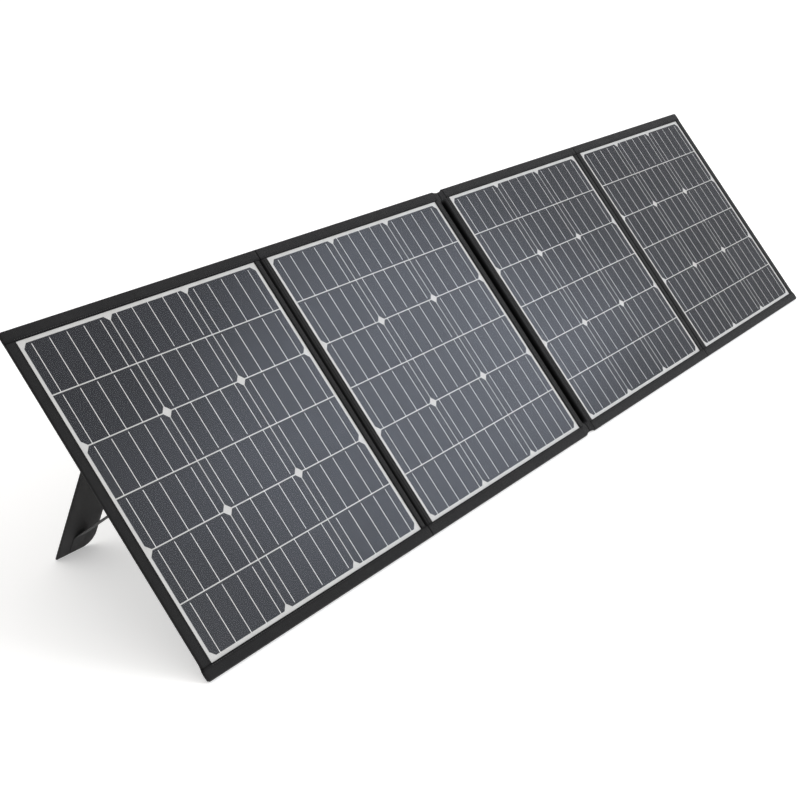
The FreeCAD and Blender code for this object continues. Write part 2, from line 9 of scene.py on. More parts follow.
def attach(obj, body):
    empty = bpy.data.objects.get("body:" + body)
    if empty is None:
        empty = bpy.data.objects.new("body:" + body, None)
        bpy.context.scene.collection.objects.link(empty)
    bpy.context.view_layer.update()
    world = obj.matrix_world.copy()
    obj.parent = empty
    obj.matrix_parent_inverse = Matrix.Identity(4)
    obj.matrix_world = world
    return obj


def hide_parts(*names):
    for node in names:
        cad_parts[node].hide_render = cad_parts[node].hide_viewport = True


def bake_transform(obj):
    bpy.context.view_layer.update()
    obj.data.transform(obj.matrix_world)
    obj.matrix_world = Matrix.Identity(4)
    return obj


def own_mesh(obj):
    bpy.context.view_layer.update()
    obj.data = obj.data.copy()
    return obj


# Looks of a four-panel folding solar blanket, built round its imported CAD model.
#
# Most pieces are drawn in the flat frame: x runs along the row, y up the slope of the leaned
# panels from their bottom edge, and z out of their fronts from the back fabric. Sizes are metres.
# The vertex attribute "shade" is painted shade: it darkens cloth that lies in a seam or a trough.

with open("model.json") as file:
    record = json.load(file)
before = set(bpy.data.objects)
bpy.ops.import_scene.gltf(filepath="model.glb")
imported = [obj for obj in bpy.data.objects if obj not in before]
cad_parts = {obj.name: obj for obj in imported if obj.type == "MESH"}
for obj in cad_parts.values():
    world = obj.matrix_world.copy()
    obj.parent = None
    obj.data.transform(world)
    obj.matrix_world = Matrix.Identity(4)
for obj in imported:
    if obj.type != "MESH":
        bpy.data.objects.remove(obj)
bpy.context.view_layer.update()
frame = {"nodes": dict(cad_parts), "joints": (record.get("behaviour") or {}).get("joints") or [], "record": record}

JOINTS = {joint["name"]: joint for joint in frame["joints"]}
ALONG = Vector((1, 0, 0))
UP = Vector(JOINTS["fold_12"]["axis"])
OUT = ALONG.cross(UP)
LEAN = math.atan2(UP.z, UP.y)
AXES = np.array([ALONG, UP, OUT])

PANELS = (1, 2, 3, 4)
FRONT_NORMAL = (0, 0, 1)
BACK_NORMAL = (0, 0, -1)
CLOTH = 0.0006
LAP = 0.006
ROUND_STEPS = 6


# ---- places


def node_points(node):
    """A CAD node's vertices in the row frame."""
    return np.array([vertex.co for vertex in frame["nodes"][node].data.vertices])


corner = (node_points("panel_2_back_cover") @ AXES.T).min(0)
FLAT_ORIGIN = np.array([0, corner[1], corner[2]])


def to_flat(points):
    """Row frame to flat frame."""
    return np.asarray(points) @ AXES.T - FLAT_ORIGIN


def to_row(points):
    """Flat frame to row frame."""
    return (np.asarray(points) + FLAT_ORIGIN) @ AXES


class Place:
    """A piece's own frame, turned about the row's length and set at a point of the flat frame."""

    def __init__(self, origin=(0, 0, 0), turn=0.0):
        c, s = math.cos(turn), math.sin(turn)
        self.origin = np.array(origin, float)
        self.axes = np.array([[1, 0, 0], [0, c, s], [0, -s, c]])

    def flat(self, points):
        return np.asarray(points) @ self.axes + self.origin

    def box(self, node):
        """Lowest and highest corner of a CAD node in this frame."""
        points = (to_flat(node_points(node)) - self.origin) @ self.axes.T
        return points.min(0), points.max(0)


FLAT = Place()

# heights of the layers, read from the CAD
BASE = FLAT.box("panel_1_front_border")[0][2]
FRONT = FLAT.box("panel_1_front_border")[1][2]
MIDDLE = FRONT / 2
TALL = FLAT.box("panel_1_back_cover")[1][1]


# ---- mesh helpers


def spaced(low, high, step, low_round, high_round):
    """Grid lines from low to high, closer together where an edge is rounded."""
    turns = 1 - np.cos(np.linspace(0, math.pi / 2, ROUND_STEPS + 1))
    start = low + low_round * turns
    finish = high - high_round * turns[::-1]
    count = max(2, round((finish[0] - start[-1]) / step))
    middle = np.linspace(start[-1], finish[0], count + 1)
    return np.concatenate([start[:-1], middle, finish[1:]])


def rim(distance, radius):
    """Height of a quarter round: none at the edge, and one from a radius inwards."""
    share = np.clip(distance / radius, 0, 1)
    return np.sqrt(np.clip(1 - (1 - share) ** 2, 0, 1))


def smooth(value):
    """Nought to one, with soft ends."""
    value = np.clip(value, 0, 1)
    return value * value * (3 - 2 * value)


def ripple(X, Y, length, seed):
    """A gentle unevenness between minus one and one, the same on every run."""
    waves = np.random.default_rng(seed)
    total = np.zeros_like(X)
    for _ in range(7):
        angle = waves.uniform(0, math.tau)
        pitch = length * waves.uniform(0.6, 1.7)
        phase = waves.uniform(0, math.tau)
        total += np.sin(math.tau * (X * math.cos(angle) + Y * math.sin(angle)) / pitch + phase)
    return total / 4


def ear(X, Y, at, inward, out):
    """Lets the folded cloth at a corner stand out a little past the side."""
    up = (Y - at[1]) * inward[1]
    near = np.exp(-(np.abs(X - at[0]) / 0.006))
    return X - inward[0] * out * near * smooth((0.0175 - up) / 0.003) * smooth(up / 0.004)


def tuck(X, Y, at, inward, radius):
    """Rounds one corner of a sheet in plan. inward holds the signs of the way in."""
    a = radius - (X - at[0]) * inward[0]
    b = radius - (Y - at[1]) * inward[1]
    near = (a > 0) & (b > 0)
    scale = np.where(near, np.maximum(a, b) / np.maximum(np.hypot(a, b), 1e-9), 1)
    X = np.where(near, at[0] + inward[0] * (radius - a * scale), X)
    Y = np.where(near, at[1] + inward[1] * (radius - b * scale), Y)
    return X, Y


def sheet(X, Y, upper, lower):
    """A closed sheet between two height fields on a grid, as points and faces."""
    rows, columns = X.shape
    count = rows * columns
    grid = np.arange(count).reshape(rows, columns)
    top = np.stack([grid[:-1, :-1], grid[:-1, 1:], grid[1:, 1:], grid[1:, :-1]], -1).reshape(-1, 4)
    bottom = top[:, ::-1] + count
    edge = np.concatenate([grid[0, :-1], grid[:-1, -1], grid[-1, :0:-1], grid[:0:-1, 0]])
    following = np.roll(edge, -1)
    sides = np.stack([edge, edge + count, following + count, following], -1)
    points = np.concatenate([np.stack([X, Y, z], -1).reshape(-1, 3) for z in (upper, lower)])
    return points, np.concatenate([top, bottom, sides]).tolist()


def patch(low, high, steps, rounds):
    """A grid over a rectangle, and each point's way from its left, right, low and high edge."""
    xs = spaced(low[0], high[0], steps[0], rounds[0], rounds[1])
    ys = spaced(low[1], high[1], steps[1], rounds[2], rounds[3])
    X, Y = np.meshgrid(xs, ys)
    return X, Y, np.array([X - low[0], high[0] - X, Y - low[1], high[1] - Y])


def follow(points, path):
    """Bends a sheet along a path of (y, z): y becomes the way along it, z the height off it."""
    path = np.array(path)
    steps = np.hypot(*np.diff(path, axis=0).T)
    length = np.concatenate([[0], np.cumsum(steps)])
    tangent = np.gradient(path, length, axis=0)
    tangent /= np.linalg.norm(tangent, axis=1)[:, None]
    y, z, ty, tz = (np.interp(points[:, 1], length, v) for v in (*path.T, *tangent.T))
    return np.c_[points[:, 0], y - tz * points[:, 2], z + ty * points[:, 2]]


def path_length(path):
    """The length of a path of straight runs."""
    return np.hypot(*np.diff(np.array(path), axis=0).T).sum()


def bend(start, middle, finish, count=10):
    """Points of a smooth bend between two straight runs."""
    t = np.linspace(0, 1, count)[:, None]
    start, middle, finish = (np.array(p, float) for p in (start, middle, finish))
    return (1 - t) ** 2 * start + 2 * t * (1 - t) * middle + t**2 * finish


def webbing(left, right, path, thick, step=0.004, edge=0.0006):
    """A band of webbing between two x places, along a path of (y, z)."""
    X, Y, reaches = patch((left, 0), (right, path_length(path)), (0.004, step), [edge] * 4)
    half = thick / 2 * (0.35 + 0.65 * rim(reaches.min(0), edge))
    points, faces = sheet(X, Y, half, -half)
    return follow(points, path), faces


def block(low, high, radius, steps=3):
    """A box with rounded edges, as points and faces."""
    low, high = np.array(low, float), np.array(high, float)
    half = (high - low) / 2
    lines = np.linspace(-1, 1, 2 * steps + 2)
    points, faces = [], []
    for axis in range(3):
        for way in (-1, 1):
            a, b = [k for k in range(3) if k != axis]
            A, B = np.meshgrid(lines, lines)
            side = np.zeros(A.shape + (3,))
            side[..., a], side[..., b], side[..., axis] = A, B, way
            start = sum(len(p) for p in points)
            grid = np.arange(A.size).reshape(A.shape) + start
            quads = np.stack([grid[:-1, :-1], grid[:-1, 1:], grid[1:, 1:], grid[1:, :-1]], -1)
            flip = (way > 0) == (axis == 1)
            faces += (quads[..., ::-1] if flip else quads).reshape(-1, 4).tolist()
            points.append(side.reshape(-1, 3))
    unit = np.concatenate(points)
    share = np.clip(np.abs(unit) * (steps + 0.5), 0, 1)
    inner = np.sign(unit) * (half - radius) * share
    away = unit / np.linalg.norm(unit, axis=1)[:, None]
    return (low + high) / 2 + inner + away * radius, faces


def lathe(profile, around, wobble):
    """A closed turned shape about local y from (radius, y) pairs. wobble(angles, index) adds ribs."""
    angles = np.linspace(0, math.tau, around, endpoint=False)
    rings = []
    for index, (radius, y) in enumerate(profile):
        reach = radius + wobble(angles, index)
        rings.append(np.c_[reach * np.cos(angles), np.full(around, y), reach * np.sin(angles)])
    grid = np.arange(len(profile) * around).reshape(-1, around)
    after = np.roll(grid, -1, axis=1)
    faces = np.stack([grid, after, np.roll(after, -1, axis=0), np.roll(grid, -1, axis=0)], -1)
    return np.concatenate(rings), faces.reshape(-1, 4).tolist()


def tube(rings):
    """Rings of equal count joined into a closed tube with flat ends, as points and faces."""
    grid = np.arange(sum(len(ring) for ring in rings)).reshape(len(rings), -1)
    after = np.roll(grid, -1, axis=1)
    sides = np.stack([grid[:-1], grid[1:], after[1:], after[:-1]], -1).reshape(-1, 4)
    return np.concatenate(rings), [*sides.tolist(), grid[0].tolist(), grid[-1, ::-1].tolist()]


def stitches(start, finish, normal, pitch=0.0042, long=0.003, thick=0.0003):
    """A row of thread stitches between two points, a little proud of the cloth."""
    start, finish, normal = (np.array(v, float) for v in (start, finish, normal))
    way = finish - start
    length = np.linalg.norm(way)
    way /= length
    across = np.cross(normal, way)
    count = max(1, int(length / pitch))
    centres = start + way * ((np.arange(count) + 0.5) * length / count)[:, None]
    ring = [across, normal, -across, -normal]
    shape = [-way * long / 2 - normal * thick / 2]
    shape += [r * thick - way * long / 4 for r in ring]
    shape += [r * thick + way * long / 4 for r in ring]
    shape += [way * long / 2 - normal * thick / 2]
    one = []
    for k in range(4):
        after = (k + 1) % 4
        one.append([0, 1 + after, 1 + k])
        one.append([1 + k, 1 + after, 5 + after, 5 + k])
        one.append([9, 5 + k, 5 + after])
    points = (centres[:, None, :] + np.array(shape)[None]).reshape(-1, 3)
    faces = [[len(shape) * i + v for v in face] for i in range(count) for face in one]
    return points, faces


def stitched_box(low, high, z, normal, **how):
    """Stitches round a rectangle at a height."""
    corners = [(low[0], low[1]), (high[0], low[1]), (high[0], high[1]), (low[0], high[1])]
    following = corners[1:] + corners[:1]
    return [stitches((*a, z), (*b, z), normal, **how) for a, b in zip(corners, following)]


def link(thing):
    """Puts a new object into the scene."""
    bpy.context.scene.collection.objects.link(thing)


def make(name, shapes, surface, place=FLAT, sharp=50, shade=None):
    """One piece from one or more shapes, each drawn in a place. shade holds painted shade that darkens its
    vertices.
    """
    points, faces, start = [], [], 0
    for drawn, joined in shapes:
        points.append(drawn)
        faces += [[v + start for v in face] for face in joined]
        start += len(drawn)
    mesh = bpy.data.meshes.new(name)
    mesh.from_pydata(to_row(place.flat(np.concatenate(points))).tolist(), [], faces)
    mesh.polygons.foreach_set("use_smooth", [True] * len(mesh.polygons))
    mesh.set_sharp_from_angle(angle=math.radians(sharp))
    mesh.materials.append(surface)
    if shade is not None:
        mesh.attributes.new("shade", "FLOAT", "POINT").data.foreach_set("value", shade)
    piece = bpy.data.objects.new(name, mesh)
    link(piece)
    return piece


def settle(piece, body, *nodes):
    """Puts a piece on a body, where it stands for the CAD nodes named."""
    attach(piece, body)
    if nodes:
        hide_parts(*nodes)


def dress(node, skin):
    """Gives a CAD node that keeps its shape a material."""
    materials = frame["nodes"][node].data.materials
    materials.clear()
    materials.append(skin)


def row_point(point):
    return tuple(to_row([point])[0])


# ---- materials


class Surface:
    """A material: a Principled shader with constants on its own sockets, and nodes on top."""

    def __init__(self, name, **constants):
        self.material = bpy.data.materials.new(name)
        self.material.use_nodes = True
        self.nodes = self.material.node_tree.nodes
        self.shader = self.nodes["Principled BSDF"]
        self.turn = 0.0
        for socket, value in constants.items():
            self.shader.inputs[socket.replace("_", " ")].default_value = value

    def plug(self, socket, value):
        if isinstance(value, bpy.types.NodeSocket):
            self.material.node_tree.links.new(value, socket)
        else:
            socket.default_value = value

    def node(self, kind, inputs, **settings):
        """A node. inputs pairs a socket's name or number with a value or another node's output."""
        node = self.nodes.new("ShaderNode" + kind)
        for name, value in settings.items():
            setattr(node, name, value)
        for socket, value in inputs.items():
            self.plug(node.inputs[socket], value)
        return node

    def maths(self, operation, *values):
        return self.node("Math", dict(enumerate(values)), operation=operation).outputs[0]

    def mixed(self, share, first, second):
        mix = self.node("Mix", {0: share, 6: first, 7: second}, data_type="RGBA")
        return mix.outputs[2]

    def spread(self, value, low, high, to_low=0.0, to_high=1.0):
        """One range of numbers carried over to another."""
        inputs = {0: value, 1: low, 2: high, 3: to_low, 4: to_high}
        return self.node("MapRange", inputs).outputs[0]

    def place(self, shift=(0, 0, 0)):
        """Where the point lies in the flat frame, turned with a piece that leans out of it."""
        coordinates = self.node("TexCoord", {}).outputs["Object"]
        shifted = tuple(np.array(shift) - FLAT_ORIGIN)
        inputs = {"Vector": coordinates, "Rotation": (-LEAN - self.turn, 0, 0), "Location": shifted}
        return self.node("Mapping", inputs).outputs[0]

    def noise(self, scale, detail=3.0):
        inputs = {"Vector": self.place(), "Scale": scale, "Detail": detail}
        return self.node("TexNoise", inputs).outputs[0]

    def weave(self, pitch):
        """Threads that pass over and under each other, whichever way the cloth faces."""
        inputs = {0: self.place(), "Scale": math.tau / pitch}
        scaled = self.node("VectorMath", inputs, operation="SCALE").outputs[0]
        wave = self.node("VectorMath", {0: scaled}, operation="SINE").outputs[0]
        parts = self.node("SeparateXYZ", {0: wave}).outputs
        turned = self.node("CombineXYZ", {0: parts[1], 1: parts[2], 2: parts[0]}).outputs[0]
        product = self.node("VectorMath", {0: wave, 1: turned}, operation="DOT_PRODUCT")
        return product.outputs["Value"]

    def bump(self, height, distance, strength=1.0, below=None):
        inputs = {"Height": height, "Distance": distance, "Strength": strength}
        if below is not None:
            inputs["Normal"] = below
        return self.node("Bump", inputs).outputs[0]

    def finish(self, colour=None, roughness=None, normal=None):
        """Joins what varies to the shader and gives the material."""
        for socket, value in (("Base Color", colour), ("Roughness", roughness), ("Normal", normal)):
            if value is not None:
                self.plug(self.shader.inputs[socket], value)
        return self.material


def grey(value, warmth=0.0):
    """A near-neutral linear colour."""
    return (value * (1 + warmth), value, value * (1 - warmth), 1)


WEAVE_PITCH = 0.0012
WEAVE_DEPTH = 0.00018


def cloth_surface(name, dark, light, sheen, pitch=WEAVE_PITCH, depth=WEAVE_DEPTH, turn=0.0):
    """Woven black cloth: threads, slow fading, dust in the weave and rubbed high spots."""
    surface = Surface(name, Sheen_Roughness=0.45)
    surface.turn = turn
    weave = surface.weave(pitch)
    fading = surface.noise(9.0, 4.0)
    fibres = surface.noise(2600.0, 2.0)
    raised = surface.spread(weave, -1.2, 1.2)
    faded = surface.spread(fading, 0.3, 0.75)
    share = surface.maths("MULTIPLY_ADD", raised, 0.55, surface.maths("MULTIPLY", faded, 0.45))
    share = surface.maths("MULTIPLY_ADD", fibres, 0.3, surface.maths("SUBTRACT", share, 0.15))
    colour = surface.mixed(share, dark, light)
    roughness = surface.spread(raised, 0.0, 1.0, 0.92, 0.72)
    # the "shade" attribute is painted shade: in seams and troughs it takes the colour towards black and the sheen
    # and gloss away
    shade = surface.node("Attribute", {}, attribute_name="shade").outputs["Fac"]
    colour = surface.mixed(shade, colour, grey(0.0006))
    open_cloth = surface.maths("SUBTRACT", 1.0, shade)
    for socket, value in (("Sheen Weight", sheen), ("Specular IOR Level", 0.35)):
        shown = surface.maths("MULTIPLY", open_cloth, value)
        surface.plug(surface.shader.inputs[socket], shown)
    creases = surface.bump(surface.noise(34.0, 5.0), 0.0012, 0.5)
    normal = surface.bump(weave, depth, 0.7, creases)
    return surface.finish(colour, roughness, normal)


def plastic_surface(name, colour, rough, grain=1500.0, depth=0.00012, **more):
    """Moulded plastic or rubber with a fine spark-eroded grain and a little handling polish."""
    surface = Surface(name, **more)
    worn = surface.noise(24.0, 5.0)
    fine = surface.noise(grain, 3.0)
    shade = surface.mixed(
        surface.spread(worn, 0.35, 0.7), colour, tuple(c * 1.35 for c in colour[:3]) + (1,)
    )
    roughness = surface.spread(worn, 0.3, 0.7, rough + 0.08, rough - 0.08)
    return surface.finish(shade, roughness, surface.bump(fine, depth, 0.6))


COLUMN_PITCH = 0.158
HALF_PITCH = 0.0799
RIBBON_PITCH = 0.03135
PRINTED_LINE = 0.00035
FINGER_PITCH = 0.00145
FINGER_WIDE = 0.00009
LIT_EDGE = 0.07805


def lattice(surface, number):
    """Places along and up from a panel's middle and across a column, and the way to a printed line."""
    low, high = FLAT.box(f"panel_{number}_cells")
    middle = (low + high) / 2
    place = surface.place((-middle[0], -middle[1], 0))
    parts = surface.node("SeparateXYZ", {0: place}).outputs
    column = surface.maths("WRAP", parts[0], COLUMN_PITCH / 2, -COLUMN_PITCH / 2)
    line = surface.maths("WRAP", column, RIBBON_PITCH / 2, -RIBBON_PITCH / 2)
    return parts[0], parts[1], column, surface.maths("ABSOLUTE", line)


def cell_surface(number):
    """Blue-black silicon under clear film: fine printed fingers, printed lines, cell-to-cell tone."""
    surface = Surface(
        f"silicon_{number}",
        Coat_Weight=1.0,
        Coat_Roughness=0.22,
        Coat_IOR=1.42,
        Specular_IOR_Level=0.15,
    )
    x, y, across, line = lattice(surface, number)
    column = surface.maths("FLOOR", surface.maths("MULTIPLY_ADD", x, 1 / COLUMN_PITCH, 1.5))
    row = surface.maths("FLOOR", surface.maths("MULTIPLY_ADD", y, 1 / HALF_PITCH, 3.0))
    index = surface.node("CombineXYZ", {0: column, 1: row, 2: float(number)}).outputs[0]
    lot = surface.node("TexWhiteNoise", {"Vector": index}, noise_dimensions="3D").outputs[0]
    cloud = surface.noise(14.0, 6.0)
    crystal = surface.noise(1900.0, 2.0)
    tone = surface.maths("MULTIPLY_ADD", lot, 0.35, surface.maths("MULTIPLY", cloud, 0.5))
    tone = surface.maths("MULTIPLY_ADD", crystal, 0.16, tone)
    tone = surface.spread(tone, 0.2, 0.8)
    silicon = surface.mixed(tone, (0.0115, 0.0125, 0.0165, 1), (0.021, 0.0225, 0.029, 1))
    finger = surface.maths("WRAP", y, FINGER_PITCH, 0.0)
    finger = surface.maths("LESS_THAN", finger, FINGER_WIDE)
    fingered = surface.mixed(surface.maths("MULTIPLY", finger, 0.25), silicon, grey(0.16))
    printed = surface.maths("LESS_THAN", line, PRINTED_LINE)
    colour = surface.mixed(surface.maths("MULTIPLY", printed, 0.75), fingered, grey(0.11))
    lit = surface.maths("GREATER_THAN", surface.maths("ABSOLUTE", across), LIT_EDGE)
    colour = surface.mixed(surface.maths("MULTIPLY", lit, 0.8), colour, grey(0.6))
    normal = surface.bump(surface.noise(700.0, 1.0), 0.00002, 0.02)
    surface.plug(surface.shader.inputs["Coat Normal"], normal)
    roughness = surface.spread(cloud, 0.3, 0.7, 0.46, 0.56)
    return surface.finish(colour, roughness, normal)


def backsheet_surface(number):
    """White sheet behind the cells, a little uneven, with faint ends of the ribbons in its margin."""
    surface = Surface(f"backsheet_{number}", Coat_Weight=0.6, Coat_Roughness=0.3, Roughness=0.55)
    line = lattice(surface, number)[3]
    uneven = surface.spread(surface.noise(40.0, 5.0), 0.3, 0.7)
    white = surface.mixed(uneven, (0.65, 0.64, 0.62, 1), (0.72, 0.715, 0.70, 1))
    mark = surface.maths("LESS_THAN", line, PRINTED_LINE)
    colour = surface.mixed(surface.maths("MULTIPLY", mark, 0.12), white, grey(0.3))
    return surface.finish(colour, None, surface.bump(surface.noise(900.0, 2.0), 0.0001, 0.4))


def ribbon_surface():
    """Tinned copper: pale, softly metallic, with slight drawn streaks."""
    surface = Surface("tinned_ribbon", Metallic=0.1)
    streak = surface.spread(surface.noise(420.0, 4.0), 0.3, 0.7)
    colour = surface.mixed(streak, (0.84, 0.835, 0.82, 1), (0.95, 0.95, 0.94, 1))
    roughness = surface.spread(streak, 0.0, 1.0, 0.5, 0.36)
    return surface.finish(colour, roughness, surface.bump(streak, 0.00003, 0.5))


def film_surface():
    """Clear front film. The gloss that it lends the cells is on their own coat."""
    surface = Surface("clear_film", Roughness=0.28, Alpha=0.05, IOR=1.42)
    surface.shader.inputs["Base Color"].default_value = (0.1, 0.1, 0.11, 1)
    return surface.material


def metal_surface(name, light, dark, rough):
    """Brushed or enamelled metal with fine scratches."""
    surface = Surface(name, Metallic=1.0)
    scratch = surface.spread(surface.noise(800.0, 6.0), 0.35, 0.65)
    colour = surface.mixed(scratch, dark, light)
    roughness = surface.spread(scratch, 0.0, 1.0, rough + 0.1, rough - 0.06)
    return surface.finish(colour, roughness, surface.bump(scratch, 0.00004, 0.5))


spread_angle = math.radians(JOINTS["stand_1_hinge"]["range_deg"][1])
cover_cloth = cloth_surface(
    "cover_cloth", dark=(0.0036, 0.0034, 0.0037, 1), light=(0.0118, 0.0109, 0.0122, 1), sheen=0.13
)
# a lit copy of the cover cloth for the legs: the same black cloth, painted lighter and given more sheen for the
# light that falls on them
lit_stand_cloth = cloth_surface(
    "lit_stand_cloth", (0.0052, 0.0049, 0.0052, 1), (0.0185, 0.0175, 0.0185, 1), 0.18, turn=spread_angle
)
zip_cloth = cloth_surface("zip_cloth", (0.0020, 0.0019, 0.0021, 1), (0.0075, 0.0070, 0.0078, 1), 0.04)
strap_cloth = cloth_surface(
    "webbing_cloth", (0.007, 0.007, 0.0074, 1), (0.028, 0.027, 0.029, 1), 0.22, 0.0022, 0.0004
)
thread = cloth_surface("thread", grey(0.014), grey(0.05), 0.3, 0.0006, 0.0001)
box_plastic = plastic_surface("box_plastic", grey(0.022), 0.52)
grip_rubber = plastic_surface("grip_rubber", grey(0.018), 0.66, 1100.0, 0.0002)
gasket_rubber = plastic_surface("gasket_rubber", grey(0.04), 0.7)
board_fibre = plastic_surface("stiffener_board", (0.30, 0.29, 0.26, 1), 0.7, 500.0, 0.0003)
terminal_plastic = plastic_surface("terminal_plastic", (0.2, 0.21, 0.2, 1), 0.5)
diode_epoxy = plastic_surface("diode_epoxy", grey(0.02), 0.3)
coil_nylon = plastic_surface("coil_nylon", grey(0.02), 0.34)
screw_steel = metal_surface("screw_steel", grey(0.62), grey(0.4), 0.34)
slider_enamel = metal_surface("slider_enamel", grey(0.06), grey(0.03), 0.36)
ribbon_tin = ribbon_surface()
clear_film = film_surface()

# ---- panels

OUTER_ROUND = 0.0024
HINGE_ROUND = 0.0017
HEM_ROUND = 0.0009
SIDE_TOP = FRONT + 0.00005
LONG_TOP = FRONT + 0.00045
SEAM_INSET = 0.0002
UNDERLAP = 0.004
STRIP_STEP = 0.005
BACK_STEP = 0.011
CREASE = 0.0004
FRONT_SEAM = 0.0028
BACK_SEAM = 0.0065

outlines = {n: FLAT.box(f"panel_{n}_back_cover") for n in PANELS}
windows = {}
for n in PANELS:
    film_low, film_high = FLAT.box(f"panel_{n}_front_film")
    windows[n] = (film_low[:2] + LAP, film_high[:2] - LAP)
folds = {name: to_flat(JOINTS["fold_" + name]["pos_m"]) for name in ("12", "23", "34")}
ends = {
    1: (outlines[1][0][0], folds["12"][0] - CREASE),
    2: (folds["12"][0] + CREASE, outlines[2][1][0]),
    3: (outlines[3][0][0], folds["34"][0] - CREASE),
    4: (folds["34"][0] + CREASE, outlines[4][1][0]),
}

# how wide a strip's edge rounds, and the height it rounds down to
OUTER_EDGE = (OUTER_ROUND, MIDDLE)
HINGE_EDGE = (HINGE_ROUND, MIDDLE)
HEM_EDGE = (HEM_ROUND, BASE)
CREASE_EDGE = (0.0016, FRONT - 0.0012)
UNDER_EDGE = (0.0006, BASE + 0.0002)
end_edges = {
    1: (OUTER_EDGE, CREASE_EDGE),
    2: (CREASE_EDGE, HINGE_EDGE),
    3: (HINGE_EDGE, CREASE_EDGE),
    4: (CREASE_EDGE, OUTER_EDGE),
}


def strip(low, high, edges, top, seed, free_end=None):
    """A strip of cloth and the shade painted along its hems and tucked edges. edges says how its left, right, low
    and high edge round.
    """
    X, Y, reaches = patch(low, high, (STRIP_STEP, STRIP_STEP), [radius for radius, _ in edges])
    upper = np.full_like(X, top)
    for reach, (radius, floor) in zip(reaches, edges):
        upper = np.minimum(upper, floor + (top - floor) * rim(reach, radius))
    inside = smooth(reaches.min(0) / 0.006)
    upper = upper + 0.00016 * ripple(X, Y, 0.045, seed) * inside
    upper = upper + 0.00008 * ripple(X, Y, 0.013, seed + 50) * inside
    lower = np.minimum(BASE, upper - 0.0004)
    # painted shade: the cloth goes nearly black within about a millimetre of its hems and of the edges tucked
    # under other strips, where the seams lie in shade
    dark = np.zeros_like(X)
    for reach, edge in zip(reaches, edges):
        if edge in (HEM_EDGE, UNDER_EDGE):
            dark = np.maximum(dark, 0.95 * np.exp(-((reach / 0.0010) ** 2)))
    if free_end is not None:
        at, inward, out, cut = free_end
        X, Y = tuck(X, Y, at, inward, cut)
        X = ear(X, Y, at, inward, out)
    return *sheet(X, Y, upper, lower), np.tile(dark.ravel(), 2)


def free_corners(number):
    """Bottom and top outer corner of an end panel: place, way in, how far it stands out, rounding."""
    low, high = outlines[number]
    if number not in (1, 4):
        return None, None
    x, way = (low[0], 1) if number == 1 else (high[0], -1)
    out, cut = (0.0024, 0.003) if number == 1 else (0.0034, 0.0012)
    return ((x, low[1]), (way, 1), out, cut), ((x, high[1]), (way, -1), 0.0004, 0.0045)


def front_cloth(number):
    """Four strips sewn round the window: the bottom and top ones lie over the side ones."""
    low, high = outlines[number]
    window_low, window_high = windows[number]
    left, right = ends[number]
    turned = end_edges[number]
    left_edge = OUTER_EDGE if number == 1 else HINGE_EDGE
    right_edge = OUTER_EDGE if number == 4 else HINGE_EDGE
    under = (UNDER_EDGE, UNDER_EDGE)
    below, above = window_low[1] - UNDERLAP, window_high[1] + UNDERLAP
    layout = (
        ((left, low[1]), (right, window_low[1]), (*turned, OUTER_EDGE, HEM_EDGE), LONG_TOP),
        ((left, window_high[1]), (right, high[1]), (*turned, HEM_EDGE, OUTER_EDGE), LONG_TOP),
        ((low[0], below), (window_low[0], above), (left_edge, HEM_EDGE, *under), SIDE_TOP),
        ((window_high[0], below), (high[0], above), (HEM_EDGE, right_edge, *under), SIDE_TOP),
    )
    corners = (*free_corners(number), None, None)
    strips = [strip(*layout[i], 10 * number + i, corners[i]) for i in range(4)]
    # the shade painted along the strips' hems and tucked edges
    dark = np.concatenate([shade for _, _, shade in strips])
    shapes = [(points, faces) for points, faces, _ in strips]
    piece = make(f"panel_{number}_front_cloth", shapes, cover_cloth, shade=dark)
    settle(piece, f"panel_{number}", f"panel_{number}_front_border")


def back_cloth(number):
    """The back of a panel: one sheet of cloth, turned up round all four edges."""
    low, high = outlines[number]
    low, high = low[:2] + SEAM_INSET, high[:2] - SEAM_INSET
    left = OUTER_ROUND if number == 1 else HINGE_ROUND
    right = OUTER_ROUND if number == 4 else HINGE_ROUND
    rounds = (left, right, OUTER_ROUND, OUTER_ROUND)
    X, Y, reaches = patch(low, high, (BACK_STEP, BACK_STEP), rounds)
    turned = np.minimum.reduce([rim(reach, radius) for reach, radius in zip(reaches, rounds)])
    inside = smooth(reaches.min(0) / 0.01)
    face = MIDDLE * (1 - turned)
    face = face - inside * 0.00022 * (1 + ripple(X, Y, 0.09, 70 + number)) / 2
    face = face + inside * 0.00008 * ripple(X, Y, 0.022, 80 + number)
    for free_corner in free_corners(number):
        if free_corner is not None:
            at, inward, out, cut = free_corner
            at = np.array(at) + np.array(inward) * SEAM_INSET
            X, Y = tuck(X, Y, at, inward, cut)
            X = ear(X, Y, at, inward, out)
    shapes = [sheet(X, Y, face + CLOTH, face)]
    piece = make(f"panel_{number}_back_cloth", shapes, cover_cloth)
    settle(piece, f"panel_{number}", f"panel_{number}_back_cover")


def stitching(name, rows, body, place=FLAT):
    """Rows of stitches, as one piece on a body."""
    piece = make(name + "_stitching", rows, thread, place)
    settle(piece, body)
    return piece


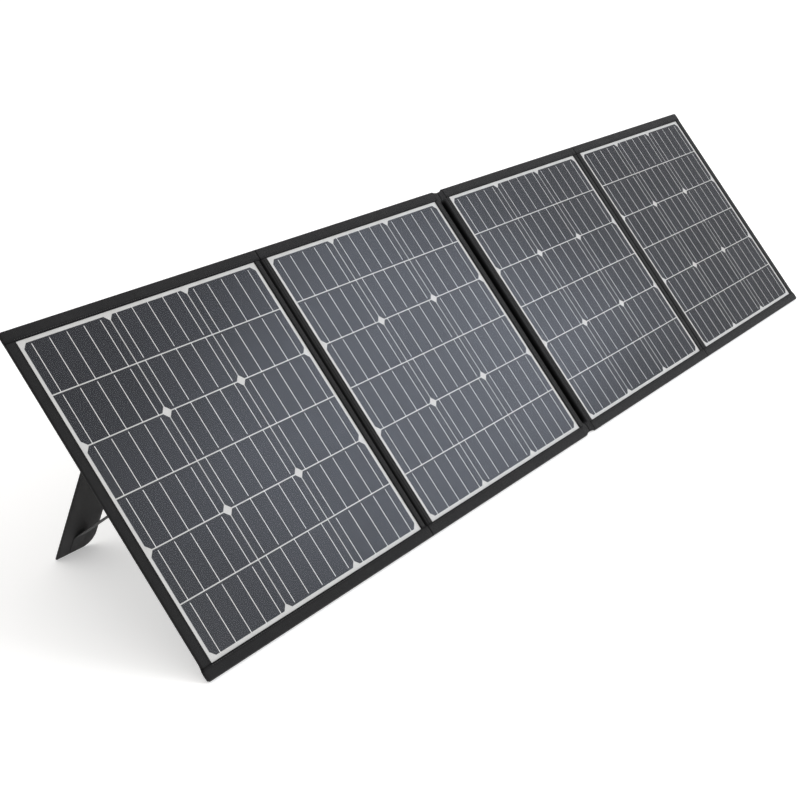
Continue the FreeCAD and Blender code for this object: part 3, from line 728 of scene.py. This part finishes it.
def panel_stitching(number):
    """Rows of stitches beside the window and round the back."""
    low, high = outlines[number]
    inner_low, inner_high = windows[number]
    seam_low, seam_high = inner_low - FRONT_SEAM, inner_high + FRONT_SEAM
    rows = []
    for y in (seam_low[1], seam_high[1]):
        rows.append(stitches((seam_low[0], y, LONG_TOP), (seam_high[0], y, LONG_TOP), FRONT_NORMAL))
    for x in (seam_low[0], seam_high[0]):
        start, finish = (x, inner_low[1], SIDE_TOP), (x, inner_high[1], SIDE_TOP)
        rows.append(stitches(start, finish, FRONT_NORMAL))
    rows += stitched_box(low[:2] + BACK_SEAM, high[:2] - BACK_SEAM, -0.0002, BACK_NORMAL)
    stitching(f"panel_{number}", rows, f"panel_{number}")


for n in PANELS:
    back_cloth(n)
    front_cloth(n)
    panel_stitching(n)
    dress(f"panel_{n}_board", board_fibre)
    dress(f"panel_{n}_backsheet", backsheet_surface(n))
    dress(f"panel_{n}_cells", cell_surface(n))
    dress(f"panel_{n}_ribbons", ribbon_tin)
    dress(f"panel_{n}_front_film", clear_film)

# ---- hinges

WEB_TUCK = 0.0007
WEB_BACK = 0.0003
WEB_ROUND = 0.0012
END_ZONE = windows[1][0][1]


def hinge_web(name, edge, middle, end_middle, trough, depth, sag, seed):
    """Cloth between two panels. edge and middle are its front heights, end_middle at its ends.

    trough holds how far out from the centre its lowest part and its drop reach, and depth how dark
    the shade painted into its trough is. sag is how much its ends draw in.
    """
    low, high = FLAT.box("hinge_web_" + name)
    left, right = outlines[int(name[0])][1][0], outlines[int(name[1])][0][0]
    centre, half = (left + right) / 2, (right - left) / 2 + WEB_TUCK
    xs = centre + half * np.linspace(-1, 1, 41)
    ys = spaced(low[1], high[1], 0.005, WEB_ROUND, WEB_ROUND)
    X, Y = np.meshgrid(xs, ys)
    across = np.abs(X - centre) / half
    from_end = np.minimum(Y - low[1], high[1] - Y)
    zone = smooth((from_end - END_ZONE + 0.002) / 0.005)
    bottom = end_middle + (middle - end_middle) * zone
    drop = smooth((trough[1] - across) / (trough[1] - trough[0]))
    fall = (1 - zone) * (1 - across**0.8) + zone * (0.15 * (1 - across) + 0.85 * drop)
    front = edge - (edge - bottom) * fall
    slack = np.sin(math.tau * across * 2.6 + 2.0 * ripple(X * 0, Y, 0.16, seed)) * (1 - across)
    front = front + 0.00035 * slack * zone + 0.00015 * ripple(X, Y, 0.03, seed) * (1 - across)
    crease = np.exp(-(((X - centre) / 0.0009) ** 2))
    front = front - 0.0006 * crease * (1 - 0.6 * zone)
    back = WEB_BACK + 0.0012 * across**6 + 0.00015 * ripple(X, Y, 0.04, seed + 1)
    level = (front + back) / 2
    share = 0.3 + 0.7 * rim(from_end, WEB_ROUND)
    front = level + (front - level) * share
    back = level + (back - level) * share
    tall = (high[1] - low[1]) / 2
    Y = (low[1] + high[1]) / 2 + (Y - low[1] - tall) * (1 - sag / tall * (1 - across**2))
    # painted shade: darkest along the trough's lowest part, and near the ends along the crease
    dark = zone * depth * (0.2 * (1 - across) + 0.8 * drop) + (1 - zone) * 0.75 * crease
    dark = np.concatenate([dark.ravel(), 0 * dark.ravel()])
    shapes = [sheet(X, Y, front, back)]
    piece = make(f"hinge_{name}_cloth", shapes, cover_cloth, shade=dark)
    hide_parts("hinge_web_" + name, "link_leads_" + name)
    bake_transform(piece)


hinge_web("12", 0.0044, 0.0013, 0.0030, trough=(0.0, 0.62), depth=1.0, sag=0.0005, seed=201)
hinge_web("23", 0.0046, 0.0011, 0.0032, trough=(0.3, 0.66), depth=1.0, sag=0.0025, seed=202)
hinge_web("34", 0.0047, 0.0036, 0.0042, trough=(0.0, 0.35), depth=0.8, sag=0.0003, seed=203)

# ---- kickstands

FOOT_ROUND = 0.022
FOOT_BLUNT = 0.004
LEG_HEM = 0.0024
LEG_SEAM = 0.0016
LEG_EDGE_HALF = 0.0005
HINGE_STRIP = 0.0005
HINGE_RECESS = 0.00052
STRIP_TAB = 0.026
UNSEWN = 0.03
STRAP_THICK = 0.0013
STRAP_TAB = 0.026
STRAP_SEAM = 0.0035


def quarter(up, radius):
    """How far a rounded corner cuts in, at each height above it."""
    return radius - np.sqrt(np.clip(radius**2 - np.clip(radius - up, 0, None) ** 2, 0, None))


def leg_cloth(number, place):
    """A leg's two leaves of cloth, sewn flat round the board, with loose cloth over its outside."""
    low, high = place.box(f"stand_{number}_cover")
    inner = 1 if number < 3 else -1
    cuts = (FOOT_BLUNT, FOOT_ROUND) if inner > 0 else (FOOT_ROUND, FOOT_BLUNT)
    us = spaced(0, 1, 0.07, 0.03, 0.03)
    ys = spaced(low[1], high[1], 0.009, FOOT_ROUND, 0.003)
    U, Y = np.meshgrid(us, ys)
    up = Y - low[1]
    left = low[0] + quarter(up, cuts[0])
    right = high[0] - quarter(up, cuts[1])
    X = left + (right - left) * U
    reach = np.minimum.reduce([X - left, right - X, up, high[1] - Y])
    full = smooth((reach - LEG_HEM / 3) / LEG_HEM)
    thick = LEG_EDGE_HALF + (high[2] - LEG_EDGE_HALF) * full
    below_hinge = smooth((high[1] - UNSEWN - Y) / 0.05)
    loose = 0.0001 * full * below_hinge * (1 + ripple(X, Y, 0.07, 300 + number))
    recess = HINGE_RECESS * full * smooth((Y - high[1] + 0.034) / 0.006)
    fold_line = up - 0.05 - 0.35 * inner * X
    fold = 0.0007 * full * np.exp(-((fold_line / 0.0035) ** 2))
    bulge = 0.0001 * full * smooth(up / 0.03) * below_hinge
    outer = -thick - loose - bulge + fold + recess
    shapes = [sheet(X, Y, thick, outer)]
    piece = make(f"stand_{number}_cloth", shapes, lit_stand_cloth, place)
    settle(piece, f"stand_{number}", f"stand_{number}_cover")
    rows = []
    for z, normal in ((0.0007, FRONT_NORMAL), (-0.0007, BACK_NORMAL)):
        for x, cut in zip((low[0] + LEG_SEAM, high[0] - LEG_SEAM), cuts):
            rows.append(stitches((x, low[1] + cut, z), (x, high[1] - UNSEWN, z), normal))
        y = low[1] + LEG_SEAM
        rows.append(stitches((low[0] + cuts[0], y, z), (high[0] - cuts[1], y, z), normal))
    stitching(f"stand_{number}", rows, f"stand_{number}", place)


def leg_hinge(number, place, pivot):
    """The strip of cloth that hangs a leg from its panel's back, sewn to both."""
    low, high = place.box(f"stand_{number}_cover")
    on_leg = low[2] + 0.00022
    tab_z = -HINGE_STRIP / 2 - 0.0001
    tab = np.array([(pivot[1] + STRIP_TAB, tab_z), (pivot[1] + 0.007, tab_z)])
    leg = place.flat([(0, -y, on_leg) for y in (0.003, 0.012, STRIP_TAB)])[:, 1:]
    knee = place.flat([(0, 0.0015, on_leg)])[0][1:]
    path = np.concatenate([tab[:1], bend(tab[1], knee, leg[0]), leg[1:]])
    inset = 0.003
    left, right = pivot[0] + low[0] + inset, pivot[0] + high[0] - inset
    shapes = [webbing(left, right, path, HINGE_STRIP, 0.0015)]
    piece = make(f"stand_{number}_hinge_cloth", shapes, cover_cloth)
    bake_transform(piece)
    rows = []
    for up in (0.012, STRIP_TAB - 0.003):
        y = pivot[1] + up
        rows.append(stitches((left + 0.002, y, -0.0011), (right - 0.002, y, -0.0011), BACK_NORMAL))
    stitching(f"stand_{number}_hinge", rows, f"panel_{number}")


def flatten(piece, anchor):
    """Gives a piece between a leg and its panel a mesh of its own."""
    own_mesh(piece)


def strap(number, place, pivot):
    """Webbing that stops the leg: the taut span, a tab on the panel, and a tab on the leg."""
    points = to_flat(node_points(f"stand_{number}_strap"))
    left, right = points[:, 0].min(), points[:, 0].max()
    sewn = points[points[:, 2] > points[:, 2].max() - 0.001][:, 1].mean()
    along = place.box(f"stand_{number}_strap")[0][1]
    face = place.box(f"stand_{number}_cover")[1][2]
    top = np.array([sewn, -0.0016])
    foot = place.flat([(0, along + 0.0012, face + 0.0006)])[0][1:]

    def band(part, low, high, path, step=0.004, where=FLAT):
        shapes = [webbing(low, high, path, STRAP_THICK, step)]
        return make(f"stand_{number}_strap_{part}", shapes, strap_cloth, where)

    span = band("span", left, right, [top, (top + foot) / 2, foot], 0.01)
    settle(span, f"panel_{number}", f"stand_{number}_strap")
    flatten(span, (pivot[0], sewn, -0.00045))

    tab = band("top_tab", left, right, [(sewn - 0.001, -0.0008), (sewn + STRAP_TAB, -0.0008)])
    settle(tab, f"panel_{number}")
    sewn_low = (left + STRAP_SEAM, sewn + STRAP_SEAM)
    sewn_high = (right - STRAP_SEAM, sewn + STRAP_TAB - STRAP_SEAM)
    rows = stitched_box(sewn_low, sewn_high, -0.0016, BACK_NORMAL)
    seam = stitching(f"stand_{number}_strap_top", rows, f"panel_{number}")
    for piece in (tab, seam):
        flatten(piece, (pivot[0], sewn, -0.0003))

    left, right = left - pivot[0], right - pivot[0]
    z = face + STRAP_THICK / 2
    tab = band("leg_tab", left, right, [(along - STRAP_TAB, z), (along + 0.002, z)], where=place)
    settle(tab, f"stand_{number}")
    sewn_low = (left + STRAP_SEAM, along - STRAP_TAB + STRAP_SEAM)
    sewn_high = (right - STRAP_SEAM, along - STRAP_SEAM)
    rows = stitched_box(sewn_low, sewn_high, face + STRAP_THICK, FRONT_NORMAL)
    seam = stitching(f"stand_{number}_strap_leg", rows, f"stand_{number}", place)
    for piece in (tab, seam):
        flatten(piece, place.flat([(0, along, face)])[0])


for n in PANELS:
    joint = JOINTS[f"stand_{n}_hinge"]
    pivot = to_flat(joint["pos_m"])
    leg_place = Place(pivot, math.radians(joint["range_deg"][1]))
    leg_cloth(n, leg_place)
    leg_hinge(n, leg_place, pivot)
    strap(n, leg_place, pivot)
    dress(f"stand_{n}_board", board_fibre)

# ---- carry handles

HANDLE_WEBBING = 0.025
HANDLE_TAB = 0.028
HANDLE_SEAM = 0.004
GRIP_AROUND = 40
GRIP_STEPS = 61
GRIP_RIBS = 17


def handle_strap(number, place, pivot):
    """A webbing loop that hangs from two sewn tabs."""
    low, high = place.box(f"handle_{number}_webbing")
    thick = high[2] - low[2]
    wide = HANDLE_WEBBING
    tab_z = -thick / 2 - 0.0001
    down = place.flat([(0, -0.006, 0), (0, low[1] + wide / 2, 0)])[:, 1:]
    tab = [(pivot[1] - HANDLE_TAB, tab_z), (pivot[1] - 0.006, tab_z)]
    knee = np.array([pivot[1] + 0.0035, pivot[2] - 0.0006])
    turn = bend((pivot[1] - 0.002, tab_z), (pivot[1] + 0.0045, tab_z + 0.0002), knee - (0, 0.0012), 6)
    fall = bend(knee - (0.0004, 0.0016), pivot[1:] - (0.001, 0.0022), down[0], 6)
    run = np.concatenate([tab, turn, fall, down[1:]])
    sides = ((low[0], low[0] + wide), (high[0] - wide, high[0]))
    shapes = [webbing(pivot[0] + a, pivot[0] + b, run, thick * 0.8, 0.002) for a, b in sides]
    rounds = (0.006, 0.006, 0.001, 0.001)
    X, Y, reaches = patch(low, (high[0], low[1] + wide), (0.004, 0.004), rounds)
    half = thick / 2 * (0.4 + 0.6 * rim(reaches.min(0), 0.001))
    for x, way in ((low[0], 1), (high[0], -1)):
        X, Y = tuck(X, Y, (x, low[1]), (way, 1), 0.008)
    bar_points, bar_faces = sheet(X, Y, half, -half)
    shapes.append((place.flat(bar_points), bar_faces))
    piece = make(f"handle_{number}_strap", shapes, strap_cloth)
    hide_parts(f"handle_{number}_webbing")
    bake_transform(piece)

    fine = {"pitch": 0.003, "long": 0.0024}
    rows = []
    z = tab_z - thick * 0.4
    y0, y1 = pivot[1] - HANDLE_TAB + HANDLE_SEAM, pivot[1] - 0.008
    for left, right in sides:
        a, b = pivot[0] + left + HANDLE_SEAM, pivot[0] + right - HANDLE_SEAM
        rows += stitched_box((a, y0), (b, y1), z, BACK_NORMAL, **fine)
        rows.append(stitches((a, y0, z), (b, y1, z), BACK_NORMAL, **fine))
        rows.append(stitches((a, y1, z), (b, y0, z), BACK_NORMAL, **fine))
    stitching(f"handle_{number}", rows, f"panel_{number}")


def handle_grip(number, place):
    """A soft sleeve on a handle, oval and ribbed, with rounded ends."""
    low, high = place.box(f"handle_{number}_grip")
    half, centre = (high - low) / 2, (high + low) / 2
    angles = np.linspace(0, math.tau, GRIP_AROUND, endpoint=False)
    c, s = np.cos(angles), np.sin(angles)
    rings = []
    for i in range(GRIP_STEPS):
        share = i / (GRIP_STEPS - 1)
        from_end = min(share, 1 - share)
        swell = 0.72 + 0.28 * float(rim(from_end * (high[0] - low[0]), 0.004))
        rib = 0.00035 * math.sin(math.tau * share * GRIP_RIBS) * smooth(from_end * 12)
        x = low[0] + (high[0] - low[0]) * share
        y = centre[1] + (half[1] * swell + rib) * np.sign(c) * np.abs(c) ** 0.55
        z = centre[2] + (half[2] * swell + rib) * np.sign(s) * np.abs(s) ** 0.75
        rings.append(np.c_[np.full(GRIP_AROUND, x), y, z])
    name = f"handle_{number}_soft_grip"
    piece = make(name, [tube(rings)], grip_rubber, place)
    settle(piece, f"handle_{number}", f"handle_{number}_grip")


for n in (2, 3):
    pivot = to_flat(JOINTS[f"handle_{n}_swing"]["pos_m"])
    hanging = Place(pivot, math.radians(90) - LEAN)
    handle_strap(n, hanging, pivot)
    handle_grip(n, hanging)

# ---- junction box

dress("junction_box_base", box_plastic)
dress("junction_box_lid", box_plastic)
dress("junction_box_gasket", gasket_rubber)
dress("junction_box_screws", screw_steel)
dress("junction_box_terminals", terminal_plastic)
dress("bypass_diodes", diode_epoxy)


def gland():
    """Cable gland: a ribbed nut with a domed nose on the box's outlet, open for the lead."""
    low, high = FLAT.box("cable_gland")
    centre = (low + high) / 2
    reach = (high[0] - low[0]) / 2
    bore = frame["record"]["mounts"][0]["dims"]["r_mm"] / 1000
    nut_top = FLAT.box("junction_box_base")[0][1] - 0.0004
    profile = [
        (bore, high[1]),
        (bore, low[1]),
        (bore + 0.0012, low[1]),
        (bore + 0.0022, low[1] + 0.0006),
        (reach - 0.0012, low[1] + 0.0034),
        (reach - 0.0004, low[1] + 0.0046),
        (reach - 0.0004, nut_top - 0.0046),
        (reach, nut_top - 0.0040),
        (reach, nut_top - 0.0006),
        (reach - 0.0006, nut_top),
        (reach - 0.0016, nut_top),
        (reach - 0.0016, high[1]),
    ]
    ribbed = {5, 6}

    def ribs(angles, index):
        return 0.0004 * np.sign(np.sin(angles * 14)) * (index in ribbed)

    shapes = [lathe(profile, 112, ribs)]
    place = Place((centre[0], 0, centre[2]))
    piece = make("gland_body", shapes, box_plastic, place, sharp=28)
    settle(piece, "panel_2", "cable_gland")


gland()

# ---- cable pocket

BINDING = 0.008
POCKET_ROUND = 0.012
POCKET_SEAM = 0.0055
ZIP_GAP = 0.0002
ZIP_PITCH = 0.0016
ZIP_END = 0.002
ZIP_TOOTH = np.array([0.00055, 0.0013, 0.0003])
PULL_HALF = 0.0028
PULL_HOLE = 0.0016
PULL_THICK = 0.0013


def cable_pocket():
    """A flat patch pocket with a bound edge and a soft, slightly empty front."""
    low, high = FLAT.box("pocket_fabric")
    zip_low, zip_high = FLAT.box("pocket_zip")
    X, Y, reaches = patch(low, high, (0.006, 0.006), [0.002] * 4)
    reach = reaches.min(0)
    below_zip = smooth((zip_low[1] - 0.004 - Y) / 0.02)
    inside = smooth((reach - BINDING) / 0.012)
    edge = -0.0014 * rim(reach, 0.0012)
    body = 0.0010 * inside
    puff = (0.0026 + 0.0014 * ripple(X, Y, 0.11, 501)) * inside * below_zip
    sag = 0.0016 * inside * below_zip * smooth((high[1] - Y) / 0.24)
    binding_line = 0.0005 * np.exp(-(((reach - BINDING) / 0.0012) ** 2))
    face = edge - body - puff - sag + binding_line
    by_zip = (Y > zip_low[1] - 0.002) & (Y < zip_high[1] + 0.002)
    face = np.where(by_zip, np.maximum(face, low[2]), face)
    for x, way in ((low[0], 1), (high[0], -1)):
        for y, inward in ((low[1], 1), (high[1], -1)):
            X, Y = tuck(X, Y, (x, y), (way, inward), POCKET_ROUND)
    shapes = [sheet(X, Y, np.full_like(X, 0.0003), face)]
    piece = make("pocket_cloth", shapes, cover_cloth)
    settle(piece, "panel_2", "pocket_fabric")
    rows = stitched_box(low[:2] + POCKET_SEAM, high[:2] - POCKET_SEAM, -0.0016, BACK_NORMAL)
    stitching("pocket", rows, "panel_2")


def pocket_zip():
    """Two woven tapes and a nylon coil."""
    low, high = FLAT.box("pocket_zip")
    middle = (low[1] + high[1]) / 2
    thick = high[2] - low[2]
    tapes = []
    for a, b in ((low[1], middle - ZIP_GAP), (middle + ZIP_GAP, high[1])):
        rounds = (0.0008, 0.0008, 0.0004, 0.0004)
        X, Y, reaches = patch((low[0], a), (high[0], b), (0.006, 0.001), rounds)
        face = high[2] - thick * 0.55 * (0.3 + 0.7 * rim(reaches.min(0), 0.0006))
        tapes.append(sheet(X, Y, np.full_like(X, high[2] - 0.0001), face))
    settle(make("zip_tape", tapes, zip_cloth), "panel_2", "pocket_zip")
    coil = []
    for i in range(int((high[0] - low[0] - 2 * ZIP_END) / ZIP_PITCH)):
        side = 0.0007 if i % 2 else -0.0007
        x = low[0] + ZIP_END + ZIP_PITCH * (i + 0.5)
        centre = np.array([x, middle + side, low[2] + thick * 0.35])
        coil.append(block(centre - ZIP_TOOTH, centre + ZIP_TOOTH, 0.00025, 1))
    settle(make("zip_teeth", coil, coil_nylon), "panel_2")


def slider():
    """Zip slider: a waisted body, a bridge, and a pull tab with two holes."""
    low, high = FLAT.box("zip_slider")
    zip_low, zip_high = FLAT.box("pocket_zip")
    x, y = (low[0] + high[0]) / 2, (zip_low[1] + zip_high[1]) / 2
    half = (high[0] - low[0]) / 2
    deep = high[2] - low[2]
    body_low, bridge_low = high[2] - deep * 0.52, high[2] - deep * 0.85
    bridge_high = high[2] - deep * 0.4
    shapes = [
        block((x - half, y - 0.0038, body_low), (x + half, y + 0.0038, high[2]), 0.001),
        block(
            (x - half * 0.55, y - 0.0013, bridge_low), (x + half * 0.55, y + 0.0013, bridge_high), 0.0006
        ),
    ]
    z0, z1 = low[2], low[2] + PULL_THICK
    start, finish = low[1], y + 0.0028
    bars = ((start, start + 0.0026), (start + 0.0066, finish - 0.0036), (finish - 0.0014, finish))
    for a, b in bars:
        shapes.append(block((x - PULL_HALF, a, z0), (x + PULL_HALF, b, z1), 0.0004))
    for a, b in ((start + 0.0016, start + 0.0076), (finish - 0.0046, finish - 0.0006)):
        shapes.append(block((x - PULL_HALF, a, z0), (x - PULL_HOLE, b, z1), 0.0004))
        shapes.append(block((x + PULL_HOLE, a, z0), (x + PULL_HALF, b, z1), 0.0004))
    piece = make("slider_and_pull", shapes, slider_enamel)
    settle(piece, "zip_slider", "zip_slider")


cable_pocket()
pocket_zip()
slider()

# ---- floor, lights and camera

FLOOR_REACH = 40.0
GLINT = (-0.42, 0.2, 0.004)
SHEEN_AWAY = 4.0
CAMERA_FROM = Vector(row_point((-2.25923, TALL / 2 - 0.23359, 1.49894)))
CAMERA_TO = Vector(row_point((-0.41281, TALL / 2 - 0.05294, 0.00360)))
CAMERA_LENS = 66.62
CAMERA_SHIFT = -0.0016
CAMERA_ROLL = math.radians(-0.12)


def floor():
    """Pale paper, which glows a little so that it goes over into the white room."""
    mesh = bpy.data.meshes.new("floor")
    r = FLOOR_REACH
    mesh.from_pydata([(-r, -r, 0), (r, -r, 0), (r, r, 0), (-r, r, 0)], [], [[0, 1, 2, 3]])
    plane = bpy.data.objects.new("floor", mesh)
    link(plane)
    paper = Surface("pale_paper", Roughness=0.9, Specular_IOR_Level=0.1, Emission_Strength=0.36)
    paper.shader.inputs["Emission Color"].default_value = (1, 1, 1, 1)
    tone = paper.noise(3.0, 2.0)
    mesh.materials.append(paper.finish(paper.mixed(tone, grey(0.93), grey(0.95))))


def lamp(name, place, aim, size, power, colour):
    """An area lamp that faces a point."""
    light = bpy.data.lights.new(name, "AREA")
    light.shape = "RECTANGLE"
    light.size, light.size_y = size
    light.energy = power
    light.color = colour
    holder = bpy.data.objects.new(name, light)
    holder.location = place
    holder.rotation_euler = (Vector(aim) - Vector(place)).to_track_quat("-Z", "Y").to_euler()
    link(holder)


def surroundings(fill, mirrored, seen):
    """An even white room: bright where the camera sees it, dimmer as a light and in reflections."""
    world = bpy.data.worlds.new("studio")
    world.use_nodes = True
    bpy.context.scene.world = world
    nodes, links = world.node_tree.nodes, world.node_tree.links
    rays = nodes.new("ShaderNodeLightPath")
    room = nodes["Background"]
    room.inputs["Strength"].default_value = fill
    room.inputs["Color"].default_value = (1.0, 0.988, 0.97, 1)
    room = room.outputs[0]
    for ray, strength in (("Is Glossy Ray", mirrored), ("Is Camera Ray", seen)):
        other = nodes.new("ShaderNodeBackground")
        other.inputs["Strength"].default_value = strength
        other.inputs["Color"].default_value = (1, 1, 1, 1)
        mix = nodes.new("ShaderNodeMixShader")
        links.new(rays.outputs[ray], mix.inputs[0])
        links.new(room, mix.inputs[1])
        links.new(other.outputs[0], mix.inputs[2])
        room = mix.outputs[0]
    links.new(room, nodes["World Output"].inputs["Surface"])


def camera():
    """The photograph's viewpoint, fitted to the corners of the windows."""
    data = bpy.data.cameras.new("camera")
    data.lens = CAMERA_LENS
    data.clip_end = 200
    data.shift_x = CAMERA_SHIFT
    holder = bpy.data.objects.new("camera", data)
    holder.location = CAMERA_FROM
    holder.rotation_mode = "QUATERNION"
    aim = (CAMERA_TO - CAMERA_FROM).to_track_quat("-Z", "Y")
    holder.rotation_quaternion = aim @ Quaternion((0, 0, 1), CAMERA_ROLL)
    link(holder)
    bpy.context.scene.camera = holder


floor()
surroundings(fill=0.8, mirrored=0.33, seen=1.0)
lamp("key", (1.4, -4.8, 2.8), (0, 0, 0.2), size=(2.5, 2.5), power=85, colour=(0.95, 0.98, 1.0))
# the sheen lamp stands where the panels mirror it to the camera round the glint
mirror_camera = CAMERA_FROM - 2 * OUT * to_flat(CAMERA_FROM)[2]
glint = Vector(row_point(GLINT))
beyond = glint + (glint - mirror_camera).normalized() * SHEEN_AWAY
lamp("sheen", beyond, glint, size=(1.55, 1.5), power=16.6, colour=(0.82, 0.92, 1.12))
camera()
bpy.context.scene.view_settings.view_transform = "Standard"
